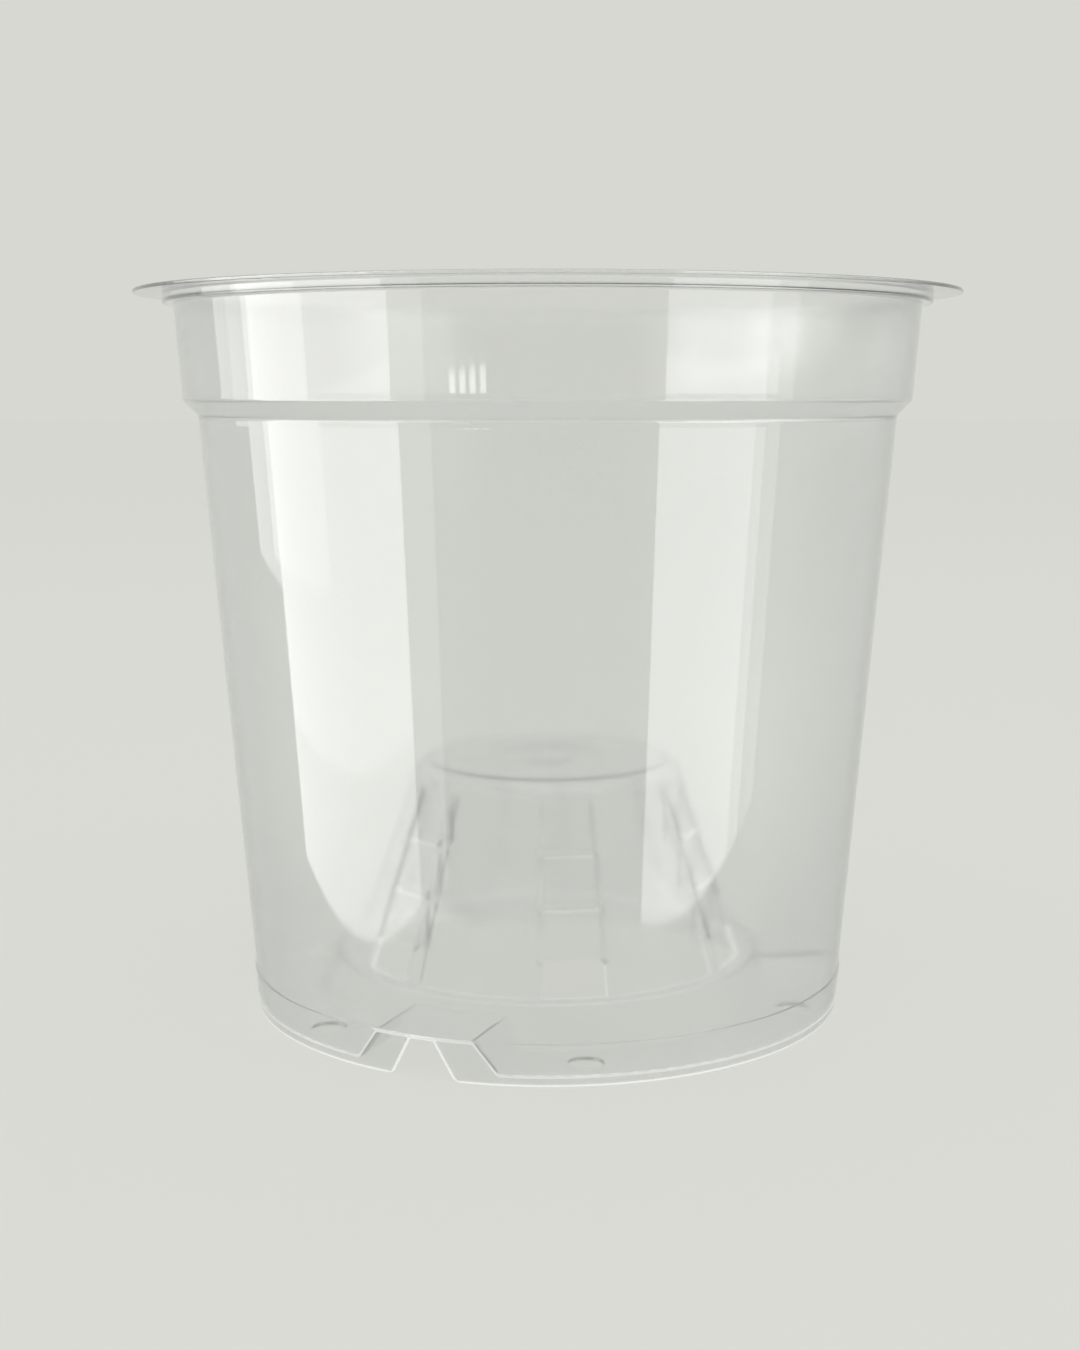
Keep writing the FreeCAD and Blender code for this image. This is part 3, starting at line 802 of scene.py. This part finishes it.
# Roughness of the gloss on each face, and the slight waves of the moulding that only the gloss shows.
WALL_GLOSS = 0.04
LINING_GLOSS = 0.16
FLOOR_GLOSS = 0.12
EDGE_GLOSS = 0.3
WAVE_SCALE = 14.0
WAVE_DETAIL = 1.0
WAVE_STRENGTH = 0.25
WALL_WAVE = 0.06 * MM
FLOOR_WAVE = 0.08 * MM
EDGE_WAVE = 0.05 * MM

# Above this share of milk the picture's noise filter takes a clear face for a solid one.
MOST_MILK = 0.27

# Shares of milk in each face: all over, at the foot up to a height, at grazing angles and on slopes.
MILKY_SHARE = 0.42
WALL_MILK = {
    "even": 0.11,
    "foot": 0.17,
    "foot_height": BODY_TOP * MILKY_SHARE,
    "grazing": 0.24,
    "slopes": 0.16,
    "most": MOST_MILK,
}
FLOOR_MILK = {
    "even": 0.13,
    "foot": 0.06,
    "foot_height": PLATFORM * 2,
    "grazing": 0.24,
    "slopes": 0.12,
    "most": MOST_MILK,
}
EDGE_MILK = {
    "even": 0.85,
    "foot": 0.0,
    "foot_height": PLATFORM,
    "grazing": 0.2,
    "slopes": 0.0,
    "most": 1.0,
}


def slope_share(tree):
    """How much a face leans away from upright, from 0 to 1."""
    tilt = tree.nodes.new("ShaderNodeSeparateXYZ")
    tree.links.new(tree.nodes.new("ShaderNodeNewGeometry").outputs["True Normal"], tilt.inputs[0])
    lean = math_node(tree, "ABSOLUTE", tilt.outputs["Z"], 0.0)
    return ramp(tree, lean, LEAN_SPAN, 0.0, 1.0)


def milk_share(tree, place, lean, haze):
    """How milky the plastic is: more near the foot, on slopes and at grazing angles, with faint patches."""
    split = tree.nodes.new("ShaderNodeSeparateXYZ")
    tree.links.new(place, split.inputs[0])
    slopes = math_node(tree, "MULTIPLY", lean, haze["slopes"])
    near_foot = ramp(tree, split.outputs["Z"], (0.0, haze["foot_height"]), haze["foot"], 0.0)
    patches = noise(tree, place, PATCH_SCALE, FINE_DETAIL)
    patches = ramp(tree, patches, PATCH_SPAN, -PATCH_SHARE, PATCH_SHARE)
    specks = noise(tree, place, SPECK_SCALE, FINE_DETAIL)
    specks = ramp(tree, specks, SPECK_SPAN, 0.0, SPECK_SHARE)
    facing = add_node(tree, "ShaderNodeLayerWeight", Blend=FACING_BLEND)
    grazing = ramp(tree, facing.outputs["Facing"], GRAZING_SPAN, 0.0, haze["grazing"])
    milk = near_foot
    for more in (patches, specks, slopes, grazing):
        milk = math_node(tree, "ADD", milk, more)
    milk = math_node(tree, "ADD", milk, haze["even"], clamp=True)
    return math_node(tree, "MINIMUM", milk, haze["most"])


def clear_plastic(name, haze, gloss_roughness, waviness, tint=MILK_TINT, painted_glow_share=0.0):
    """Thin natural polypropylene: seen through, a little milky, glossier at grazing angles. A painted glow
    share is for edges: emission standing in for the light that runs inside the wall and comes out there."""
    material = bpy.data.materials.new(name)
    material.use_nodes = True
    tree = material.node_tree
    tree.nodes.clear()
    place = tree.nodes.new("ShaderNodeTexCoord").outputs["Object"]
    lean = slope_share(tree)
    milk = milk_share(tree, place, lean, haze)
    clear = add_node(tree, "ShaderNodeBsdfRefraction", Roughness=BLUR, IOR=PLASTIC_INDEX)
    # The clear part darkens on leaning faces: painted shade for the step's dark band.
    tree.links.new(mix_colours(tree, lean, CLEAR_TINT, SLOPE_PAINTED_SHADE_TINT), clear.inputs["Color"])
    milky = add_node(tree, "ShaderNodeBsdfDiffuse", Color=tint)
    lit_through = add_node(tree, "ShaderNodeBsdfTranslucent", Color=tint)
    cloud = mix_shaders(tree, LIT_THROUGH_SHARE, milky.outputs[0], lit_through.outputs[0])
    if painted_glow_share:
        # Painted glow: the edge emits light of its own, though it is no lamp.
        painted_glow = add_node(tree, "ShaderNodeEmission", Color=tint, Strength=1.0)
        cloud = mix_shaders(tree, painted_glow_share, cloud, painted_glow.outputs[0])
    body = mix_shaders(tree, milk, clear.outputs[0], cloud)
    fresnel = add_node(tree, "ShaderNodeFresnel", IOR=PLASTIC_INDEX)
    shine = add_node(tree, "ShaderNodeBsdfGlossy", Color=WHITE, Roughness=gloss_roughness)
    bump = add_node(tree, "ShaderNodeBump", Strength=WAVE_STRENGTH, Distance=waviness)
    tree.links.new(noise(tree, place, WAVE_SCALE, WAVE_DETAIL), bump.inputs["Height"])
    for node in (fresnel, shine):
        tree.links.new(bump.outputs[0], node.inputs["Normal"])
    surface = mix_shaders(tree, fresnel.outputs[0], body, shine.outputs[0])
    path = tree.nodes.new("ShaderNodeLightPath")
    open_way = add_node(tree, "ShaderNodeBsdfTransparent", Color=SHADOW_TINT)
    surface = mix_shaders(tree, path.outputs["Is Shadow Ray"], surface, open_way.outputs[0])
    output = tree.nodes.new("ShaderNodeOutputMaterial")
    tree.links.new(surface, output.inputs["Surface"])
    return material


# Background of the picture, and the dimmer room to the sides and behind, which only reflections show.
BACKGROUND = (0.680, 0.686, 0.642, 1)
ROOM = (0.28, 0.285, 0.28, 1)
AHEAD_SPAN = (0.5, 0.97)
OVERHEAD_SPAN = (0.1, 0.45)
SKY_COLOUR = (0.97, 0.99, 1, 1)
SKY_STRENGTH = 0.85
GROUND_COLOUR = (0.75, 0.757, 0.708, 1)
GROUND_PALE_SHARE = 0.85
GROUND_RADIUS = 9.0
GROUND_SIDES = 96


def make_world():
    """Pale surroundings for the camera and for reflections, and a plain level of light for the rest."""
    world = bpy.data.worlds.new("studio")
    bpy.context.scene.world = world
    world.use_nodes = True
    tree = world.node_tree
    tree.nodes.clear()
    path = tree.nodes.new("ShaderNodeLightPath")
    seen = math_node(tree, "MAXIMUM", path.outputs["Is Camera Ray"], path.outputs["Is Glossy Ray"])
    seen = math_node(tree, "MAXIMUM", seen, path.outputs["Is Transmission Ray"])
    pale = add_node(tree, "ShaderNodeBackground", Color=BACKGROUND, Strength=1.0)
    light = add_node(tree, "ShaderNodeBackground", Color=SKY_COLOUR)
    room = add_node(tree, "ShaderNodeBackground", Color=ROOM, Strength=1.0)
    way = tree.nodes.new("ShaderNodeSeparateXYZ")
    tree.links.new(tree.nodes.new("ShaderNodeTexCoord").outputs["Generated"], way.inputs[0])
    above = math_node(tree, "GREATER_THAN", way.outputs["Z"], 0.0)
    tree.links.new(math_node(tree, "MULTIPLY", above, SKY_STRENGTH), light.inputs["Strength"])
    ahead = ramp(tree, way.outputs["Y"], AHEAD_SPAN, 0.0, 1.0)
    overhead = ramp(tree, way.outputs["Z"], OVERHEAD_SPAN, 0.0, 1.0)
    pale_way = math_node(tree, "MAXIMUM", ahead, overhead)
    mirrored = mix_shaders(tree, pale_way, room.outputs[0], pale.outputs[0])
    shown = mix_shaders(tree, path.outputs["Is Glossy Ray"], pale.outputs[0], mirrored)
    surface = mix_shaders(tree, seen, light.outputs[0], shown)
    output = tree.nodes.new("ShaderNodeOutputWorld")
    tree.links.new(surface, output.inputs["Surface"])


def make_ground():
    """Pale floor under the pot, which keeps the pot's soft shadow."""
    material = bpy.data.materials.new("pale_ground")
    material.use_nodes = True
    tree = material.node_tree
    tree.nodes.clear()
    path = tree.nodes.new("ShaderNodeLightPath")
    matt = add_node(tree, "ShaderNodeBsdfDiffuse", Color=GROUND_COLOUR)
    pale = add_node(tree, "ShaderNodeEmission", Color=BACKGROUND, Strength=1.0)
    seen = math_node(tree, "MAXIMUM", path.outputs["Is Camera Ray"], path.outputs["Is Transmission Ray"])
    share = math_node(tree, "MULTIPLY", seen, GROUND_PALE_SHARE)
    surface = mix_shaders(tree, share, matt.outputs[0], pale.outputs[0])
    output = tree.nodes.new("ShaderNodeOutputMaterial")
    tree.links.new(surface, output.inputs["Surface"])
    bpy.ops.mesh.primitive_circle_add(vertices=GROUND_SIDES, radius=GROUND_RADIUS, fill_type="NGON")
    ground = bpy.context.object
    ground.name = "ground"
    ground.data.materials.append(material)
    ground.visible_glossy = False
    ground.visible_shadow = False


# Where the room's windows stand: bearings, distances, and slopes up to their edges.
LEFT = -60.0
RIGHT = 35.0
FAR_LEFT = -23.2
DISTANCE = 2.0
NEARER = 1.9
HEAD = 1.0
LOW_HEAD = -0.08
RIGHT_SILL = -0.452

# Height that the windows are sighted from, as a share of the pot's, and a window's power per area.
SIGHT_SHARE = 0.4
WATTS_PER_RADIANCE = 4

# Windows that show as bands: bearing, near edge, far edge, sill, head, distance and radiance.
WINDOWS = {
    "left_window": (LEFT, -38.5, 13.5, -0.445, HEAD, DISTANCE, 3.3),
    "left_blind": (LEFT, -49.5, -38.5, -0.23, HEAD, DISTANCE, 1.7),
    "left_jamb": (LEFT, -57.0, -49.5, -0.10, HEAD, DISTANCE, 1.2),
    "left_curtain": (LEFT, 13.5, 24.0, -0.464, HEAD, DISTANCE, 0.9),
    "left_sky": (LEFT, -41.0, -15.0, -0.21, HEAD, NEARER, 1.4),
    "left_lower": (LEFT, -38.0, 13.5, -0.33, LOW_HEAD, NEARER, 0.8),
    "right_window": (RIGHT, -1.0, 32.0, RIGHT_SILL, HEAD, DISTANCE, 2.0),
    "right_lower": (RIGHT, -1.0, 36.0, RIGHT_SILL, LOW_HEAD, NEARER, 1.1),
    "right_blind": (RIGHT, 32.0, 42.0, RIGHT_SILL, HEAD, DISTANCE, 0.9),
}

# Panes of the far window that shows as a glint, and the soft light from above.
PANE_COUNT = 4
PANE_START = -28.5
PANE_PITCH = 3.0
PANE_WIDTH = 1.8
PANE_SILL = -0.1135
PANE_HEAD = -0.096
PANE_RADIANCE = 5.0
SKY_PLACE = (0.2, -0.3, 1.5)
SKY_SIZE = 1.6
SKY_WATTS = 9.0


def slope(degrees):
    return math.tan(math.radians(degrees))


def panel_object(name, width, height, watts):
    """A rectangular area lamp that no camera sees."""
    lamp = bpy.data.lights.new(name, "AREA")
    lamp.shape = "RECTANGLE"
    lamp.size = width
    lamp.size_y = height
    lamp.energy = watts
    panel = bpy.data.objects.new(name, lamp)
    panel.visible_camera = False
    bpy.context.scene.collection.objects.link(panel)
    return panel


def add_window(name, bearing, near_edge, far_edge, sill, head, distance, radiance):
    """An upright panel of light. Its edges are degrees beside its perpendicular's bearing, and its sill
    and head are slopes from the height that it is sighted from."""
    near_side, far_side = slope(near_edge), slope(far_edge)
    width, height = (far_side - near_side) * distance, (head - sill) * distance
    panel = panel_object(name, width, height, radiance * WATTS_PER_RADIANCE * width * height)
    turn = math.radians(bearing)
    out = Vector((math.sin(turn), -math.cos(turn), 0))
    side = Vector((math.cos(turn), math.sin(turn), 0))
    up = Vector((0, 0, 1))
    middle = out + side * halfway(near_side, far_side) + up * halfway(sill, head)
    panel.location = middle * distance + up * MOUTH * SIGHT_SHARE
    panel.rotation_euler = Matrix((side, up, out)).transposed().to_euler()
    panel.visible_diffuse = False
    panel.visible_transmission = False


def make_lights():
    """Windows that show as bands in the plastic, a far one as a glint, and soft light from above."""
    for pane in range(PANE_COUNT):
        near_edge = PANE_START + PANE_PITCH * pane - FAR_LEFT
        far_edge = near_edge + PANE_WIDTH
        pane_name = f"far_window_{pane + 1}"
        add_window(pane_name, FAR_LEFT, near_edge, far_edge, PANE_SILL, PANE_HEAD, DISTANCE, PANE_RADIANCE)
    for name, window in WINDOWS.items():
        add_window(name, *window)
    sky = panel_object("sky", SKY_SIZE, SKY_SIZE, SKY_WATTS)
    sky.location = SKY_PLACE
    sky.rotation_euler = (-sky.location).to_track_quat("-Z", "Y").to_euler()
    sky.visible_glossy = False


# Camera in front of the pot and above its foot, with the photograph's viewing angle.
SENSOR_WIDTH = 36
PHOTO_HEIGHT_PIXELS = 1350
FOCAL_PIXELS = 1951.5
CAMERA_PLACE = Vector((-1.75, -463.54, 145.19)) * MM
CAMERA_DOWN = 8.318
LEVEL_VIEW = 90
CLIP_START = 10.0 * MM

# Clear layers that light may pass before it stops.
MOST_LAYERS = 48


def make_camera():
    camera = bpy.data.cameras.new("camera")
    camera.sensor_width = SENSOR_WIDTH
    camera.lens = SENSOR_WIDTH * FOCAL_PIXELS / PHOTO_HEIGHT_PIXELS
    camera.clip_start = CLIP_START
    view = bpy.data.objects.new("camera", camera)
    view.location = CAMERA_PLACE
    view.rotation_euler = (math.radians(LEVEL_VIEW - CAMERA_DOWN), 0, 0)
    bpy.context.scene.collection.objects.link(view)
    bpy.context.scene.camera = view


def dress():
    """The three pieces of the moulding, each standing for its packed regions."""
    wall = clear_plastic("clear_wall", WALL_MILK, WALL_GLOSS, WALL_WAVE)
    # Edge material with a painted glow, emission standing in for light piped through the wall.
    edge = clear_plastic("painted_glow_edge", EDGE_MILK, EDGE_GLOSS, EDGE_WAVE, EDGE_TINT, EDGE_PAINTED_GLOW_SHARE)
    lining = clear_plastic("matt_lining", WALL_MILK, LINING_GLOSS, WALL_WAVE)
    # Floor and cone take a lighter painted copy of the milk tint.
    inside = clear_plastic("clear_floor", FLOOR_MILK, FLOOR_GLOSS, FLOOR_WAVE, INNER_PAINTED_LIGHT_TINT)
    shell = make_shell([wall, edge, lining])
    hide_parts("rim_flange", "collar_band", "step_ledge", "body_wall", "foot_skirt")
    floor = make_floor([inside, edge])
    segments = [f"floor_segment_{index + 1}" for index in range(NOTCH_COUNT)]
    channels = [f"drain_channel_{index + 1}" for index in range(NOTCH_COUNT)]
    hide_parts(*segments, *channels, "base_step")
    cone = make_cone([inside, edge])
    louvres = [f"louvre_panel_{index + 1}" for index in range(LOUVRE_COUNT)]
    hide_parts("cone_wall", *louvres, "cone_cap")
    for piece in (shell, floor, cone):
        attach(piece, "root")


dress()
make_world()
make_ground()
make_lights()
make_camera()
scene = bpy.context.scene
scene.view_settings.view_transform = "Standard"
scene.cycles.transparent_max_bounces = MOST_LAYERS
